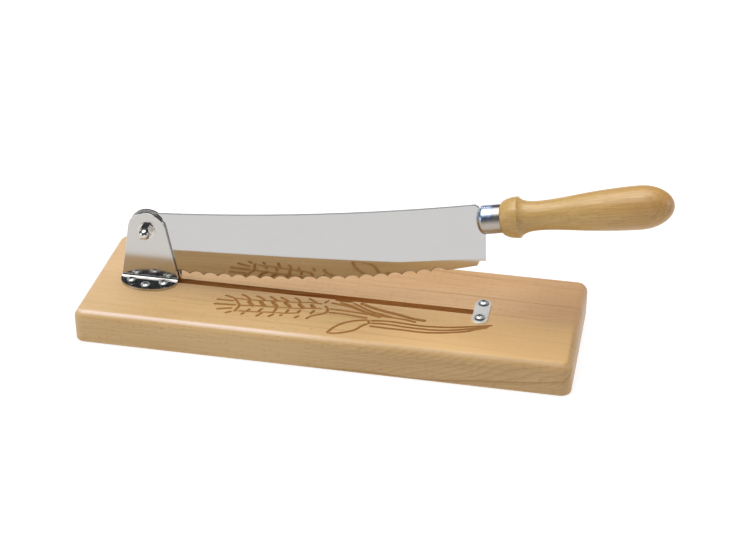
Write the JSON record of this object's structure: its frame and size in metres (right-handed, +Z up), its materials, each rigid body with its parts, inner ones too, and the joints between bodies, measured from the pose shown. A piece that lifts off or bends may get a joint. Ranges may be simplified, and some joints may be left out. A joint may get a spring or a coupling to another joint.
{
  "type": "bread guillotine",
  "caption": "Bread guillotine: slotted wooden board with a scalloped steel blade that swings down from a bolted fork, lifted by a turned wooden grip.",
  "frame": {"origin": "centre of the board's underside", "axes": "+X along the board towards the grip, -Y towards the user, +Z up"},
  "size_m": [0.4639, 0.13, 0.1544],
  "materials": {
    "board_wood": "planed beech, oiled",
    "grip_wood": "turned beech, varnished",
    "polished_steel": "mirror polished",
    "blade_steel": "mirror polished",
    "ferrule_steel": "polished, blued by heat at the weld",
    "zinc_plate": "bright zinc plated",
    "zinc_fasteners": "bright zinc plated",
    "spacer_plastic": "plain"
  },
  "bodies": {
    "base": {"base_board": "board_wood", "front_bracket": "polished_steel", "rear_bracket": "polished_steel", "front_bracket_screws": "zinc_fasteners", "rear_bracket_screws": "zinc_fasteners", "stop_plate": "zinc_plate", "stop_plate_screws": "zinc_fasteners", "pivot_bolt": "zinc_fasteners", "pivot_cap_nut": "zinc_fasteners", "front_washer": "zinc_fasteners", "rear_washer": "zinc_fasteners", "pivot_bush": "zinc_fasteners", "front_spacer": "spacer_plastic", "rear_spacer": "spacer_plastic"},
    "blade": {"cutting_blade": "blade_steel", "blade_ferrule": "ferrule_steel", "ferrule_weld": "ferrule_steel", "handle_tang": "ferrule_steel", "handle_grip": "grip_wood"}
  },
  "joints": [
    {"name": "blade_pivot", "type": "hinge", "parent": "base", "child": "blade", "pos_m": [-0.1525, -0.002, 0.075], "axis": [0, -1, 0], "range_deg": [-9.8, 80]}
  ]
}
